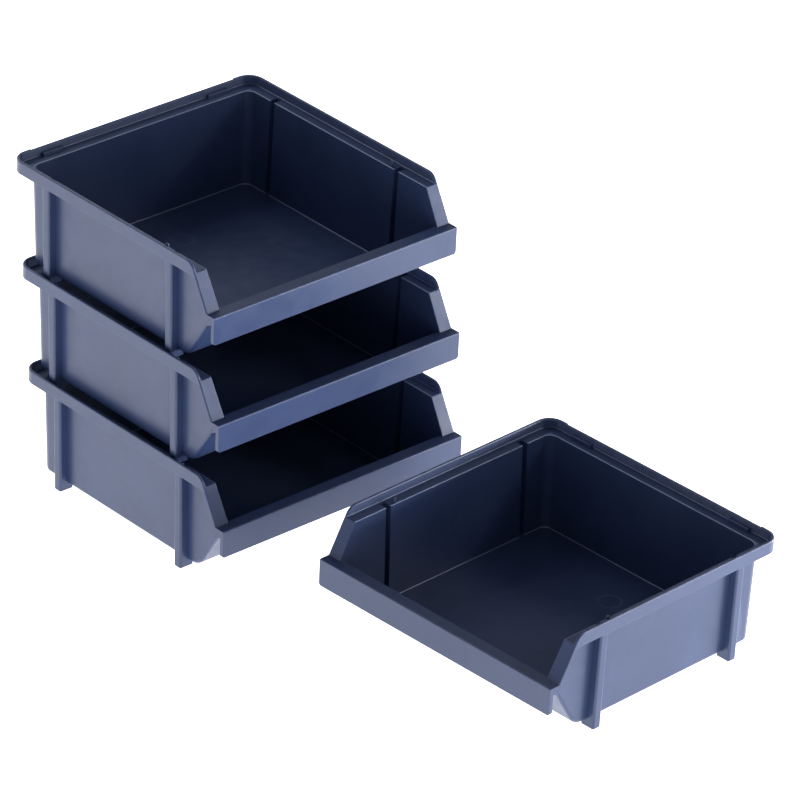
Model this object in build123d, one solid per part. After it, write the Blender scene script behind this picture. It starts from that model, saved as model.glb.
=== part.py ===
from build123d import *
import math
import os

# A set of four identical stacking parts trays: three in a stack and one standing loose in front.
#
# Each tray is one thin-walled moulding, open at the top and low at the front. In a tray's own frame
# X runs across it, Y runs from the lip at the front (Y = 0) to the back, and Z is up from the feet.
# All lengths are in millimetres and all angles in degrees.

# ---------------------------------------------------------------- overall size of one tray
width = 200.0
depth = 201.5
height = 79.3
wall = 1.5
draft = 0.025  # the walls lean in by this much per millimetre of depth

# ---------------------------------------------------------------- rim: ledge, bead and band
ledge_top = 73.0
ledge_thick = 1.9
ledge_inner_x = 90.1
ledge_inner_y = 191.6
bead_thick = 2.0
band_bottom = 70.4
rim_corner_radius = 11.0
rim_edge_radius = 0.9
bead_crest_radius = 1.05
bead_root_radius = 0.6
ledge_mouth_radius = 0.5
rear_bead_drop = 0.6
rear_bead_drop_half = 84.0

# ---------------------------------------------------------------- lip and sloped front strips
lip_top = 49.8
lip_thick = 2.0
apron_bottom = 31.0
apron_thick = 2.6
apron_corner_radius = 2.0
strip_foot_y = 7.1
strip_head_y = 19.9
strip_thick = 2.0
strip_head_radius = 8.5
lip_edge_radius = 0.8

# ---------------------------------------------------------------- tub
floor_bottom = 4.9
front_wall_top_y = 7.3
front_wall_angle = 58.5
front_bend_radius = 12.0
tub_corner_radius = 7.5
tub_bottom_radius = 2.4
gusset_bottom = 40.8
gusset_root_z = 34.0

# ---------------------------------------------------------------- ribs, grooves and feet
rib_y = (48.5, 169.1)
rib_width = 6.7
rib_stand_out = 5.7
rib_edge_radius = 1.5
groove_width = 4.3
foot_length = 10.0
foot_wall = 1.2
foot_edge_radius = 1.0

# ---------------------------------------------------------------- locating pegs and rear stops
set_back = 6.6  # each tray stands this far behind the one that carries it, with its feet over the pegs
peg_x = 92.3
peg_radius = 1.25
peg_height = 3.5
stop_x = 68.0
stop_length = 16.5
stop_depth = 2.9
stop_height = 2.5
stop_edge_radius = 0.5

# ---------------------------------------------------------------- where the four trays stand
side_drift = 0.7  # sideways offset of each stacked tray from the one below it
loose_lip_middle = (-66.5, -173.5)  # from the middle of the top tray's lip
loose_turn = -87.2

overlap = 0.3  # joined solids run this far into each other
tiny = 0.01  # two edges closer than this count as one place
half = width / 2
floor_top = floor_bottom + wall
side_slope = (strip_head_y - strip_foot_y) / (ledge_top - lip_top)
front_slope = 1 / math.tan(math.radians(front_wall_angle))


def inner_x(z):
    """Half the width between the inner faces of the side walls at height z."""
    return ledge_inner_x - draft * (ledge_top - z)


def back_y(z):
    """Inner face of the back wall at height z."""
    return ledge_inner_y - draft * (ledge_top - z)


def strip_y(z):
    """Front surface of the sloped strips at height z."""
    return strip_foot_y + side_slope * (z - lip_top)


def front_y(z):
    """Outer face of the slanted front wall at height z."""
    return front_wall_top_y + front_slope * (lip_top - z)


def prism_across(points, half_length):
    """Solid of a (y, z) outline that runs half_length to each side of the middle."""
    return extrude(make_face(Plane.YZ * Polyline(*points, close=True)), half_length, both=True)


def prism_along(points, y_from, y_to):
    """Solid of an (x, z) outline that runs from y_from to y_to."""
    outline = make_face(Plane((0, y_from, 0), x_dir=(1, 0, 0), z_dir=(0, 1, 0)) * Polyline(
        *[(x, -z) for x, z in points], close=True))
    return extrude(outline, y_to - y_from, dir=(0, 1, 0))


def plate(size_x, size_y, size_z, middle_x, y_from, z_from):
    """Box given by its sizes, the middle of its width, its front face and its underside."""
    box = Box(size_x, size_y, size_z, align=(Align.CENTER, Align.MIN, Align.MIN))
    return Pos(middle_x, y_from, z_from) * box


def both_sides(solid):
    """The solid and its mirror image on the other side of the tray."""
    return solid + mirror(solid, Plane.YZ)


def near(value, target):
    """Whether two coordinates are the same place."""
    return abs(value - target) < tiny


def envelope():
    """The outer form of rim, strips and lip, with every outside edge already rounded."""
    outline = [
        (0, apron_bottom),
        (0, lip_top),
        (strip_foot_y, lip_top),
        (strip_y(height), height),
        (depth, height),
        (depth, apron_bottom),
    ]
    form = prism_across(outline, half)
    brow = form.edges().filter_by(Axis.X).sort_by_distance((0, strip_y(height), height))[0]
    form = fillet(brow, strip_head_radius)
    form = fillet(form.edges().filter_by(Axis.Z).group_by(Axis.Y)[-1], rim_corner_radius)
    form = fillet(form.edges().filter_by(Axis.Y).group_by(Axis.Z)[0], apron_corner_radius)
    corner_start = depth - rim_corner_radius - overlap
    rim_edges = [
        e for e in form.edges()
        if (abs(abs(e.center().X) - half) < overlap and e.center().Z > lip_top + overlap)
        or (e.center().Z > height - overlap and e.center().Y > corner_start)
    ]
    form = fillet(rim_edges, rim_edge_radius)
    lip_front = form.edges().filter_by(Axis.X).sort_by_distance((0, 0, lip_top))[0]
    form = fillet(lip_front, lip_edge_radius)
    return form


def rim_outline(inset):
    """Plan of the rim, drawn inset from its outer face and carried past the front."""
    plan = make_face(Polyline(
        (inset - half, -width), (half - inset, -width),
        (half - inset, depth - inset), (inset - half, depth - inset), close=True))
    corners = plan.vertices().group_by(Axis.Y)[-1]
    return fillet(corners, rim_corner_radius - inset)


def bead_and_band():
    """The upstanding bead round the sides and back, which hangs a little below the ledge."""
    tall = height - band_bottom
    ring = extrude(rim_outline(-1.0) - rim_outline(bead_thick), tall + 1.0)
    return Pos(0, 0, band_bottom) * ring


def rim_parts():
    """Ledge, bead, sloped strips, lip and apron, before they are trimmed to the envelope."""
    ledge = plate(width + 2, depth, ledge_thick, 0, strip_head_y - 2, ledge_top - ledge_thick)
    under = (strip_thick * math.hypot(1, side_slope))
    strips = prism_across([
        (strip_foot_y - side_slope * lip_thick, lip_top - lip_thick),
        (strip_y(ledge_top), ledge_top),
        (strip_y(ledge_top) + under, ledge_top),
        (strip_foot_y - side_slope * lip_thick + under, lip_top - lip_thick),
    ], half + 1)
    lip = plate(width + 2, strip_foot_y + 1.2, lip_thick, 0, -1, lip_top - lip_thick)
    apron = plate(width + 2, apron_thick + 1, lip_top - apron_bottom + 1, 0, -1, apron_bottom - 1)
    return bead_and_band() + ledge + strips + lip + apron


def bead_inner_edges(form):
    """Edges of the bead's inner face, along the sides, the back and the two round corners."""
    return [
        e for e in form.edges()
        if near(abs(e.center().X), half - bead_thick)
        or near(e.center().Y, depth - bead_thick)
        or (e.geom_type == GeomType.CIRCLE and near(e.radius, rim_corner_radius - bead_thick))
    ]


def rear_dip():
    """What is cut away to lower the middle of the rear bead and leave its crest round."""
    length = 2 * rear_bead_drop_half
    crest = height - rear_bead_drop
    root = crest - bead_thick
    bar = plate(length, bead_thick, bead_thick, 0, depth - bead_thick, root)
    bar = fillet(bar.edges().filter_by(Axis.X).sort_by_distance((0, 0, crest))[0], bead_crest_radius)
    bar = fillet(bar.edges().filter_by(Axis.X).sort_by_distance((0, depth, crest))[0], rim_edge_radius)
    return plate(length, bead_thick + 2, bead_thick + 1, 0, depth - bead_thick - 1, root) - bar


def rim():
    """Rim, strips, lip and apron, with the bead rounded along its crest and at its root."""
    form = rim_parts() & envelope()
    form = fillet([e for e in bead_inner_edges(form) if near(e.center().Z, ledge_top)], bead_root_radius)
    above_root = ledge_top + bead_root_radius
    form = fillet([e for e in bead_inner_edges(form) if e.center().Z > above_root + tiny], bead_crest_radius)
    return form - rear_dip()


def tub(inset):
    """The tub's outer form at inset 0, and the form of the room inside it at inset wall."""
    top = ledge_top + overlap if inset else ledge_top - overlap
    low = floor_bottom + inset
    shift = inset / math.sin(math.radians(front_wall_angle))
    lean = wall - inset
    back = [(back_y(top) + lean, top), (back_y(low) + lean, low)]
    foot = (front_y(low) + shift, low)
    head = (front_y(lip_top) + shift, lip_top)
    if inset:
        head_high = [head, (-1, lip_top), (-1, top)]
    else:
        tucked = strip_thick / 2
        head_high = [(front_y(lip_top - 1), lip_top - 1), (strip_y(lip_top) + tucked, lip_top - 1),
                     (strip_y(top) + tucked, top)]
    form = prism_across([foot] + head_high + back, half)
    sides = [(-inner_x(top) - lean, top), (inner_x(top) + lean, top),
             (inner_x(low) + lean, low), (-inner_x(low) - lean, low)]
    form = form & prism_along(sides, -2, depth)
    bend = form.edges().filter_by(Axis.X).sort_by_distance((0, foot[0], low))[0]
    form = fillet(bend, front_bend_radius - inset)
    upright = [e for e in form.edges() if e.center().Y > back_y(low) and abs(e.tangent_at(0.5).Z) > 0.9]
    form = fillet(upright, tub_corner_radius - inset)
    lower = [e for e in form.edges()
             if e.center().Z < lip_top - lip_thick and abs(e.tangent_at(0.5).Z) < 0.9
             and (abs(e.center().X) > 1 or e.center().Y > depth / 2)]
    return fillet(lower, tub_bottom_radius - inset)


def gussets():
    """The side walls carried forward under the ends of the lip to the back of the apron."""
    outline = [(apron_thick - overlap, lip_top - overlap), (apron_thick - overlap, gusset_bottom),
               (front_y(gusset_root_z) + wall, gusset_root_z), (front_y(lip_top) + wall, lip_top - overlap)]
    slab = prism_across(outline, half)
    low, top = gusset_root_z - 1, lip_top + 1
    outer = prism_along([(-inner_x(top) - wall, top), (inner_x(top) + wall, top),
                         (inner_x(low) + wall, low), (-inner_x(low) - wall, low)], 0, half)
    inner = prism_along([(-inner_x(top), top), (inner_x(top), top),
                         (inner_x(low), low), (-inner_x(low), low)], -1, half + 1)
    return (slab & outer) - inner


def rib(y):
    """One hollow rib with its foot, on the right-hand side wall."""
    top = ledge_top - ledge_thick + overlap
    face_top = inner_x(top) + wall + rib_stand_out
    face_low = inner_x(0) + wall + rib_stand_out
    heel = face_low - foot_length
    post = prism_along([
        (heel, 0), (face_low, 0), (face_top, top), (inner_x(top) + wall / 2, top),
        (inner_x(floor_top) + wall / 2, floor_bottom + overlap), (heel, floor_bottom + overlap),
    ], y - rib_width / 2, y + rib_width / 2)
    corners = [e for e in post.edges() if e.center().X > face_low - 1 and abs(e.tangent_at(0.5).Z) > 0.9]
    post = fillet(corners, rib_edge_radius)
    post = fillet(post.edges().group_by(Axis.Z)[0], foot_edge_radius)
    hollow = plate(foot_length - 2 * foot_wall, groove_width, floor_bottom + 1,
                   (heel + face_low) / 2, y - groove_width / 2, -1)
    return post - hollow


def groove(y):
    """The divider groove inside one rib, open to the room and up through the ledge."""
    reach_low = inner_x(floor_top) + wall + rib_stand_out - foot_wall
    reach_top = inner_x(height) + wall + rib_stand_out - foot_wall
    return prism_along([(half / 2, floor_top), (reach_low, floor_top), (reach_top, height),
                        (half / 2, height)], y - groove_width / 2, y + groove_width / 2)


def peg():
    """Pin on the ledge that stands inside the hollow foot of the tray above."""
    pin = Cylinder(peg_radius, peg_height + overlap, align=(Align.CENTER, Align.CENTER, Align.MIN))
    pin = fillet(pin.edges().sort_by(Axis.Z)[-1], peg_radius / 2)
    return Pos(peg_x, rib_y[0] + set_back, ledge_top - overlap) * pin


def rear_stop():
    """Low block on the rear ledge, against the bead."""
    block = plate(stop_length, stop_depth + overlap, stop_height + overlap,
                  stop_x, depth - bead_thick - stop_depth, ledge_top - overlap)
    exposed = block.edges().group_by(Axis.Z)[-1].filter_by(Axis.X).sort_by(Axis.Y)[0]
    return fillet(exposed, stop_edge_radius)


def round_ledge_mouth(shell):
    """The shell with the ledge's inner edge rounded over into the room."""
    return fillet([
        e for e in shell.edges()
        if near(e.center().Z, ledge_top) and strip_head_y < e.center().Y < ledge_inner_y + tiny
        and abs(e.center().X) < ledge_inner_x + tiny
    ], ledge_mouth_radius)


def tray():
    """One whole tray as a single solid."""
    shell = rim() + tub(0) + gussets()
    for y in rib_y:
        shell += both_sides(rib(y))
    shell -= tub(wall)
    shell = round_ledge_mouth(shell)
    for y in rib_y:
        shell -= both_sides(groove(y))
    return shell + both_sides(peg()) + both_sides(rear_stop())


def place_trays(one):
    """The four trays by name, in a frame centred under the whole set."""
    stack_names = ("tray_bottom", "tray_middle", "tray_top")
    placed = {}
    for level, name in enumerate(stack_names):
        below_top = len(stack_names) - 1 - level
        placed[name] = Pos(below_top * side_drift, -below_top * set_back, level * ledge_top) * one
    placed["tray_loose"] = Pos(*loose_lip_middle) * Rot(0, 0, loose_turn) * one
    box = Compound(list(placed.values())).bounding_box()
    middle = box.center()
    return {name: Pos(-middle.X, -middle.Y, -box.min.Z) * solid for name, solid in placed.items()}


os.makedirs("parts", exist_ok=True)
for name, solid in place_trays(tray()).items():
    export_step(solid, f"parts/{name}.step")
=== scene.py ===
import math

import bpy
from mathutils import Matrix, Vector


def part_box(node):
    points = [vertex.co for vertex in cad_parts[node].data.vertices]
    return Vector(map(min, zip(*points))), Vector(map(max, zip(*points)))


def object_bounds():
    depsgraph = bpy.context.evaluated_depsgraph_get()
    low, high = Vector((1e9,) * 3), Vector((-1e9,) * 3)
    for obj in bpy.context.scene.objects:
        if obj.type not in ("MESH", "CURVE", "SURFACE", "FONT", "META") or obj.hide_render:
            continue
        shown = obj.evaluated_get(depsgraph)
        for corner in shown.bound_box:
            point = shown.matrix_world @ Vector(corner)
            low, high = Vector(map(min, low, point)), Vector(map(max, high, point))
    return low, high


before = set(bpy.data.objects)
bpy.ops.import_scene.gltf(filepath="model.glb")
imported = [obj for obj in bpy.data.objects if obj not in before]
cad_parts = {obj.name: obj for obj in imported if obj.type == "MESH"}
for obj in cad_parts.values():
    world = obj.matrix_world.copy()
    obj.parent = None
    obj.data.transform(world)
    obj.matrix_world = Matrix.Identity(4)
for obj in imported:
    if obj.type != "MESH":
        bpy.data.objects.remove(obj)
CAD_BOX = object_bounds()

# Four identical stacking parts trays moulded in navy polypropylene: three stacked, one loose in front.
# Lengths are in metres and angles in degrees. Places on a tray are measured from the tray's own
# reference point: the middle of its width, its front face and the surface that its feet stand on.

STACK = ("tray_bottom", "tray_middle", "tray_top")
LOOSE = "tray_loose"
LOOSE_TURN = -87.2
LOOSE_FROM_TOP = (-0.0665, -0.1735)  # from the top tray's reference point to the loose tray's

# ---------------------------------------------------------------- one tray, in its own frame
TRAY_HALF_WIDTH = 0.100
TRAY_DEPTH = 0.2015
TRAY_HEIGHT = 0.0793
FLOOR_Z = 0.0064
LIP_Z = 0.0498
LEDGE_Z = 0.0730
LEDGE_INNER_X = 0.0901
LEDGE_INNER_Y = 0.1916
BEAD_INNER_X = 0.0980
BEAD_INNER_Y = 0.1995
BAND_BOTTOM = 0.0704
CORNER_RADIUS = 0.0009  # where the walls meet the floor of the tub
EJECTOR_MARK = (0.004, 0.154, 0.008)  # x, y and radius of the round mark on the floor
GATE = (0.008, 0.120, 0.0012)  # x, y and radius of the gate vestige on the floor
APRON_LINE_X = 0.093
APRON_LINE_WIDTH = 0.0003
FOOT_FADE_Y = (0.040, 0.050)  # where the painted highlight at the foot of the walls begins, behind the bend of the floor

# ---------------------------------------------------------------- camera
AZIMUTH = -42.88
ELEVATION = 29.34
ROLL = 2.77
DISTANCE = 3.763
SENSOR = 36.0
LENS = 276.3
AIM_FROM_TOP_TRAY = Vector((-0.0232, -0.0875, 0.0062))

# ---------------------------------------------------------------- light
HORIZON_GLOW = 1.1
SKY_GLOW = 0.22
TABLE_GLOW = 1.65
WHITE = (1.0, 1.0, 1.0)
COOL_WHITE = (0.95, 0.97, 1.0)
SKY_BLUE = (0.82, 0.90, 1.0)

# ---------------------------------------------------------------- plastic
NAVY = (0.028, 0.047, 0.121)
NAVY_PALE = (0.036, 0.058, 0.142)
# pale colour for real wear (scratches, crest, ejector ring) and for painted light (rim band, lip edge, inside
# of the bead)
SCUFF_AND_PAINTED_LIGHT = (0.120, 0.150, 0.260)
# painted highlight colour, for thin pale lines on small radii
PAINTED_HIGHLIGHT = (0.270, 0.340, 0.520)


# ---------------------------------------------------------------- node helpers
class Graph:
    """Adds nodes to a material and joins them, so that a recipe reads from top to bottom."""

    def __init__(self, name):
        self.material = bpy.data.materials.new(name)
        self.material.use_nodes = True
        self.tree = self.material.node_tree
        self.tree.nodes.clear()

    def node(self, kind, inputs=None, **settings):
        made = self.tree.nodes.new(kind)
        for key, value in settings.items():
            setattr(made, key, value)
        for key, value in (inputs or {}).items():
            self.put(made.inputs[key], value)
        return made

    def put(self, socket, value):
        if isinstance(value, bpy.types.NodeSocket):
            self.tree.links.new(value, socket)
        else:
            socket.default_value = value

    def math(self, operation, a, b=0.0, clamp=False):
        return self.node("ShaderNodeMath", {0: a, 1: b}, operation=operation, use_clamp=clamp).outputs[0]

    def ramp(self, value, low, high, out_low=0.0, out_high=1.0):
        """Value carried smoothly from low..high to out_low..out_high."""
        return self.node("ShaderNodeMapRange", {
            "Value": value, "From Min": low, "From Max": high, "To Min": out_low, "To Max": out_high,
        }, interpolation_type="SMOOTHSTEP").outputs["Result"]

    def fade(self, value, low, high):
        """1 below low and 0 above high."""
        return self.ramp(value, low, high, 1.0, 0.0)

    def band(self, value, low, high, soft):
        """1 between low and high, falling to 0 over soft on each side."""
        rise = self.ramp(value, low - soft, low)
        return self.math("MULTIPLY", rise, self.fade(value, high, high + soft))

    def all_of(self, *masks):
        product = masks[0]
        for mask in masks[1:]:
            product = self.math("MULTIPLY", product, mask)
        return product

    def any_of(self, *masks):
        largest = masks[0]
        for mask in masks[1:]:
            largest = self.math("MAXIMUM", largest, mask)
        return largest

    def distance(self, x, y, centre_x, centre_y):
        """Distance in the plan from a centre."""
        across = self.math("SUBTRACT", x, centre_x)
        along = self.math("SUBTRACT", y, centre_y)
        squares = self.math("ADD", self.math("MULTIPLY", across, across), self.math("MULTIPLY", along, along))
        return self.math("SQRT", squares)

    def noise(self, where, scale, detail=2.0, roughness=0.5):
        return self.node("ShaderNodeTexNoise", {
            "Vector": where, "Scale": scale, "Detail": detail, "Roughness": roughness,
        }).outputs["Fac"]

    def mix(self, factor, a, b):
        made = self.node("ShaderNodeMix", data_type="RGBA")
        for key, value in ((0, factor), (6, a), (7, b)):
            self.put(made.inputs[key], value)
        return made.outputs[2]

    def stretched(self, where, scale):
        return self.node("ShaderNodeMapping", {"Vector": where, "Scale": scale}).outputs["Vector"]


def colour(rgb):
    return (*rgb, 1.0)


# ---------------------------------------------------------------- where each tray stands
def tray_frames():
    """The matrix that takes each tray's own places to the shared frame, by node."""
    places = {}
    for node in STACK:
        low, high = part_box(node)
        places[node] = Matrix.Translation(((low.x + high.x) / 2, low.y, low.z))
    top = places[STACK[-1]].translation
    across, along = LOOSE_FROM_TOP
    stands_at = Matrix.Translation((top.x + across, top.y + along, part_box(LOOSE)[0].z))
    places[LOOSE] = stands_at @ Matrix.Rotation(math.radians(LOOSE_TURN), 4, "Z")
    return places


# ---------------------------------------------------------------- moulded polypropylene
def painted_highlight_lines(g, x, y, z):
    """Painted highlights: thin pale lines on the small radii of the ledge's mouth, the bead's root and the
    foot of the walls.
    """
    soft = 0.0001
    mouth_from, mouth_to = 0.0006, 0.0008
    mouth = g.all_of(
        g.band(z, LEDGE_Z - 0.00030, LEDGE_Z - 0.00005, soft),
        g.fade(x, LEDGE_INNER_X + mouth_from, LEDGE_INNER_X + mouth_to),
        g.fade(y, LEDGE_INNER_Y + mouth_from, LEDGE_INNER_Y + mouth_to))
    root_reach = 0.0006
    root = g.all_of(
        g.band(z, LEDGE_Z + 0.00008, LEDGE_Z + 0.0004, soft),
        g.any_of(g.band(x, BEAD_INNER_X - root_reach, BEAD_INNER_X + soft, soft),
                 g.band(y, BEAD_INNER_Y - root_reach, BEAD_INNER_Y + soft, soft)))
    draft_at_floor = 0.0010
    foot_x = LEDGE_INNER_X - draft_at_floor
    foot_y = LEDGE_INNER_Y - draft_at_floor
    foot = g.all_of(
        g.band(z, FLOOR_Z + 0.2 * CORNER_RADIUS, FLOOR_Z + 0.5 * CORNER_RADIUS, soft),
        g.fade(x, foot_x, foot_x + soft),
        g.fade(y, foot_y, foot_y + soft),
        g.ramp(y, *FOOT_FADE_Y))
    return g.any_of(mouth, g.math("MULTIPLY", root, 0.6), g.math("MULTIPLY", foot, 0.8))


def wear_and_painted_light_edges(g, x, y, z, drawn):
    """Wear on the bead's crest; painted light on the rim's outer band, whose face is painted lighter and
    whose lower edge gets a painted highlight line; a painted highlight along the lip's front edge, broken a
    little by wear; and painted light on the inner face of the bead, mottled like wear.
    """
    patches = g.ramp(g.noise(drawn, 170.0, 4.0, 0.65), 0.36, 0.68)
    crest = g.ramp(z, TRAY_HEIGHT - 0.0022, TRAY_HEIGHT - 0.0002)

    # painted highlight along the lip's front edge; the wear patches break it only a little
    lip_far, lip_near = 0.0014, 0.0002
    lip_height = g.ramp(g.math("ABSOLUTE", g.math("SUBTRACT", z, LIP_Z)), lip_far, lip_near)
    lip = g.math("MULTIPLY", lip_height, g.ramp(y, lip_far, lip_near))

    # painted light: the rim band's outer face is painted a little lighter than the wall below it, and its
    # lower edge gets a painted highlight line
    face_from, face_to = 0.0005, 0.0003
    outside = g.any_of(g.ramp(x, TRAY_HALF_WIDTH - face_from, TRAY_HALF_WIDTH - face_to),
                       g.ramp(y, TRAY_DEPTH - face_from, TRAY_DEPTH - face_to))
    band_edge_highlight = g.band(z, BAND_BOTTOM, BAND_BOTTOM + 0.0004, 0.0003)
    band_face_light = g.ramp(z, BAND_BOTTOM, BAND_BOTTOM + 0.0002)
    band = g.math("MULTIPLY", outside, g.any_of(
        g.math("MULTIPLY", band_edge_highlight, 0.8), g.math("MULTIPLY", band_face_light, 0.28)))

    # painted light on the bead's inner face: painted lighter, fully on the rear side and at 0.4 on the sides,
    # mottled by the wear patches
    thin = 0.0002
    inner_sides = g.band(x, BEAD_INNER_X - thin, BEAD_INNER_X + thin, thin)
    inner_rear = g.band(y, BEAD_INNER_Y - thin, BEAD_INNER_Y + thin, thin)
    inner_height = g.band(z, LEDGE_Z + 0.0012, TRAY_HEIGHT - 0.0008, 0.0006)
    inner = g.math("MULTIPLY", g.any_of(g.math("MULTIPLY", inner_sides, 0.4), inner_rear), inner_height)

    rubbed_and_painted_light = g.any_of(g.math("MULTIPLY", crest, patches), band,
                      g.math("MULTIPLY", lip, g.ramp(patches, 0.0, 1.0, 0.5, 1.0)))
    return rubbed_and_painted_light, g.math("MULTIPLY", inner, g.ramp(patches, 0.0, 1.0, 0.65, 0.95))


def mould_marks(g, signed_x, x, y, z):
    """Relief of the marks on the tub's floor and of the apron's fine end lines, and a pale ring to colour."""
    on_floor = g.band(z, FLOOR_Z - 0.0003, FLOOR_Z + 0.0001, 0.0002)
    mark_x, mark_y, mark_radius = EJECTOR_MARK
    half_edge = 0.0005
    ring_width = 0.0008
    from_mark = g.distance(signed_x, y, mark_x, mark_y)
    mark = g.fade(from_mark, mark_radius - half_edge, mark_radius + half_edge)
    ring = g.math("MULTIPLY", on_floor, g.band(from_mark, mark_radius - ring_width, mark_radius, ring_width))
    gate_x, gate_y, gate_radius = GATE
    gate = g.fade(g.distance(signed_x, y, gate_x, gate_y), 0.0, gate_radius)
    floor = g.math("MULTIPLY", on_floor, g.math("SUBTRACT", g.math("MULTIPLY", gate, 2.0), mark))
    line = g.math("MULTIPLY", g.band(x, APRON_LINE_X, APRON_LINE_X + APRON_LINE_WIDTH, APRON_LINE_WIDTH),
                  g.fade(y, 0.0004, 0.0006))
    return g.math("ADD", floor, line), ring


def tray_plastic(node, place, seed):
    """Navy polypropylene of one tray: flow mottling, fine grain, scratches and wear on edges, with painted
    highlights and painted light on edges and inside the bead.
    """
    g = Graph(f"{node}_plastic")
    back = place.inverted()
    world = g.node("ShaderNodeTexCoord").outputs["Object"]
    local = g.node("ShaderNodeMapping", {
        "Vector": world, "Location": back.to_translation(), "Rotation": back.to_euler(),
    }).outputs["Vector"]
    drawn = g.node("ShaderNodeMapping", {"Vector": local, "Location": (seed * 1.7, seed * 0.9, seed * 1.3)})
    drawn = drawn.outputs["Vector"]
    on_tray = g.node("ShaderNodeSeparateXYZ", {0: local}).outputs
    x, y, z = g.math("ABSOLUTE", on_tray["X"]), on_tray["Y"], on_tray["Z"]

    # slow flow marks that run out from the gate, and cloudiness
    flow = g.noise(drawn, 14.0, 4.0, 0.55)
    cloud = g.noise(drawn, 60.0, 3.0, 0.6)
    tone = g.ramp(g.math("ADD", g.math("MULTIPLY", flow, 0.7), g.math("MULTIPLY", cloud, 0.3)), 0.35, 0.65)

    # long thin scratches from use, in two directions
    along = g.noise(g.stretched(drawn, (9.0, 260.0, 900.0)), 1.0, 3.0, 0.6)
    down = g.noise(g.stretched(drawn, (700.0, 500.0, 12.0)), 1.0, 3.0, 0.6)
    patch = g.ramp(g.noise(drawn, 22.0, 2.0, 0.5), 0.50, 0.66)
    scratch = g.math("MULTIPLY", patch, g.any_of(g.ramp(along, 0.66, 0.74), g.ramp(down, 0.68, 0.76)))

    rubbed_and_painted_light, painted_light_inside_bead = wear_and_painted_light_edges(g, x, y, z, drawn)
    painted_highlight = painted_highlight_lines(g, x, y, z)
    tinted = g.mix(tone, colour(NAVY), colour(NAVY_PALE))
    marks, ring = mould_marks(g, on_tray["X"], x, y, z)
    # scratches and crest wear are real wear; the rim band, lip edge and bead masks mixed in here are painted
    # light
    wear_and_painted_light = g.math("ADD", g.math("MULTIPLY", scratch, 0.20), g.math("MULTIPLY", rubbed_and_painted_light, 0.40), clamp=True)
    wear_and_painted_light = g.any_of(wear_and_painted_light, g.math("MULTIPLY", ring, 0.20), g.math("MULTIPLY", painted_light_inside_bead, 0.75))
    base = g.mix(wear_and_painted_light, tinted, colour(SCUFF_AND_PAINTED_LIGHT))
    # painted highlight: thin pale lines on the small radii, mixed over the base colour
    base = g.mix(g.math("MULTIPLY", painted_highlight, 0.75), base, colour(PAINTED_HIGHLIGHT))

    rough = g.ramp(g.noise(drawn, 95.0, 3.0, 0.6), 0.3, 0.7, 0.29, 0.37)
    rough = g.math("ADD", rough, g.math("MULTIPLY", wear_and_painted_light, 0.25))
    rough = g.math("SUBTRACT", rough, g.math("MULTIPLY", painted_highlight, 0.15), clamp=True)

    # mould marks, a slight swell of the walls, spark-eroded grain and the scratches cut into it
    grain = g.noise(local, 2600.0, 2.0, 0.6)
    swell = g.noise(drawn, 28.0, 1.0, 0.4)
    cut = g.math("MULTIPLY", scratch, -1.0)
    reliefs = ((grain, 0.18, 0.00012), (swell, 0.35, 0.0004), (marks, 0.5, 0.00008), (cut, 0.4, 0.00006))
    relief = None
    for height, strength, depth in reliefs:
        bump = g.node("ShaderNodeBump", {"Strength": strength, "Distance": depth, "Height": height})
        if relief:
            g.put(bump.inputs["Normal"], relief)
        relief = bump.outputs["Normal"]

    shader = g.node("ShaderNodeBsdfPrincipled", {
        "Base Color": base, "Roughness": rough, "Normal": relief, "IOR": 1.49, "Specular IOR Level": 0.5,
    })
    g.node("ShaderNodeOutputMaterial", {"Surface": shader.outputs["BSDF"]})
    return g.material


def dress_tray(node, place, seed):
    """Gives a CAD tray its plastic, and shading normals that are smooth over its small radii."""
    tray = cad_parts[node]
    tray.data.materials.clear()
    tray.data.materials.append(tray_plastic(node, place, seed))
    weld = tray.modifiers.new("weld", "WELD")
    weld.merge_threshold = 0.00001
    normals = tray.modifiers.new("normals", "WEIGHTED_NORMAL")
    normals.keep_sharp = True
    normals.weight = 50


# ---------------------------------------------------------------- studio
def pale_floor():
    """A big pale table top under the trays, lit through from below."""
    reach = 14.0
    mesh = bpy.data.meshes.new("floor")
    low = CAD_BOX[0][2]
    corners = [(-reach, -reach, low), (reach, -reach, low), (reach, reach, low), (-reach, reach, low)]
    mesh.from_pydata(corners, [], [(0, 1, 2, 3)])
    floor = bpy.data.objects.new("floor", mesh)
    bpy.context.scene.collection.objects.link(floor)
    g = Graph("floor_pale")
    speckle = g.noise(g.node("ShaderNodeTexCoord").outputs["Object"], 900.0, 2.0, 0.5)
    shader = g.node("ShaderNodeBsdfPrincipled", {
        "Base Color": colour((0.86, 0.86, 0.86)), "Roughness": g.ramp(speckle, 0.3, 0.7, 0.75, 0.85),
        "Specular IOR Level": 0.2, "Emission Color": colour(WHITE), "Emission Strength": TABLE_GLOW,
    })
    g.node("ShaderNodeOutputMaterial", {"Surface": shader.outputs["BSDF"]})
    mesh.materials.append(g.material)


def back_vector(azimuth, elevation):
    """Unit vector from the object towards a viewer at this azimuth and elevation."""
    a, e = math.radians(azimuth), math.radians(elevation)
    return Vector((math.sin(a) * math.cos(e), -math.cos(a) * math.cos(e), math.sin(e)))


def softbox(name, direction, distance, size, power, tint=WHITE):
    """A rectangular lamp that faces the trays, seen from them at an (azimuth, elevation)."""
    light = bpy.data.lights.new(name, "AREA")
    light.shape = "RECTANGLE"
    light.size, light.size_y = size
    light.energy = power
    light.color = tint
    lamp = bpy.data.objects.new(name, light)
    bpy.context.scene.collection.objects.link(lamp)
    lamp.visible_camera = False
    towards = back_vector(*direction)
    lamp.location = towards * distance
    lamp.rotation_euler = towards.to_track_quat("Z", "Y").to_euler()


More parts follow.
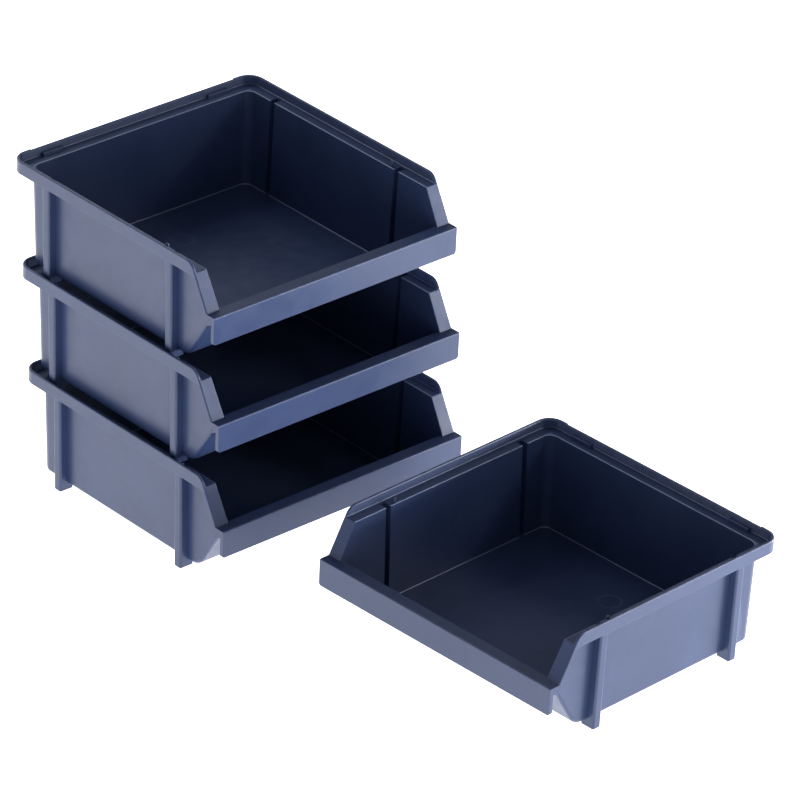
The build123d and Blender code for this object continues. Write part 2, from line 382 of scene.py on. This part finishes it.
def soft_light():
    """A white cove, bright near the table and dim overhead, and three soft boxes."""
    world = bpy.data.worlds.new("studio")
    bpy.context.scene.world = world
    world.use_nodes = True
    tree = world.node_tree
    height = tree.nodes.new("ShaderNodeSeparateXYZ")
    tree.links.new(tree.nodes.new("ShaderNodeTexCoord").outputs["Generated"], height.inputs[0])
    fall = tree.nodes.new("ShaderNodeMapRange")
    fall.interpolation_type = "SMOOTHSTEP"
    settings = {"From Min": 0.05, "From Max": 0.36, "To Min": HORIZON_GLOW, "To Max": SKY_GLOW}
    for socket, value in settings.items():
        fall.inputs[socket].default_value = value
    tree.links.new(height.outputs["Z"], fall.inputs["Value"])
    background = tree.nodes["Background"]
    background.inputs["Color"].default_value = colour(COOL_WHITE)
    tree.links.new(fall.outputs["Result"], background.inputs["Strength"])
    softbox("box_behind", (172.0, 48.0), 1.5, (0.8, 0.8), 5.2, SKY_BLUE)
    softbox("box_front_right", (58.0, 4.0), 1.8, (0.9, 0.14), 46.0)
    softbox("box_right_high", (44.0, 30.0), 2.0, (0.7, 0.35), 5.5)


# ---------------------------------------------------------------- camera
def camera(top_frame):
    """A long lens a little turned about its own axis, aimed from the top tray's place."""
    data = bpy.data.cameras.new("camera")
    data.sensor_width = SENSOR
    data.lens = LENS
    data.clip_end = 50.0
    eye = bpy.data.objects.new("camera", data)
    bpy.context.scene.collection.objects.link(eye)
    back = back_vector(AZIMUTH, ELEVATION)
    right = Vector((0, 0, 1)).cross(back).normalized()
    upright = back.cross(right)
    roll = math.radians(ROLL)
    right_rolled = math.cos(roll) * right + math.sin(roll) * upright
    up_rolled = math.cos(roll) * upright - math.sin(roll) * right
    aim = top_frame.to_translation() + AIM_FROM_TOP_TRAY
    turn = Matrix((right_rolled, up_rolled, back)).transposed().to_4x4()
    eye.matrix_world = Matrix.Translation(aim + back * DISTANCE) @ turn
    bpy.context.scene.camera = eye


# ---------------------------------------------------------------- everything together
places = tray_frames()
for number, (tray_node, tray_place) in enumerate(places.items()):
    dress_tray(tray_node, tray_place, number + 1)
pale_floor()
soft_light()
camera(places[STACK[-1]])
bpy.context.scene.view_settings.view_transform = "Standard"
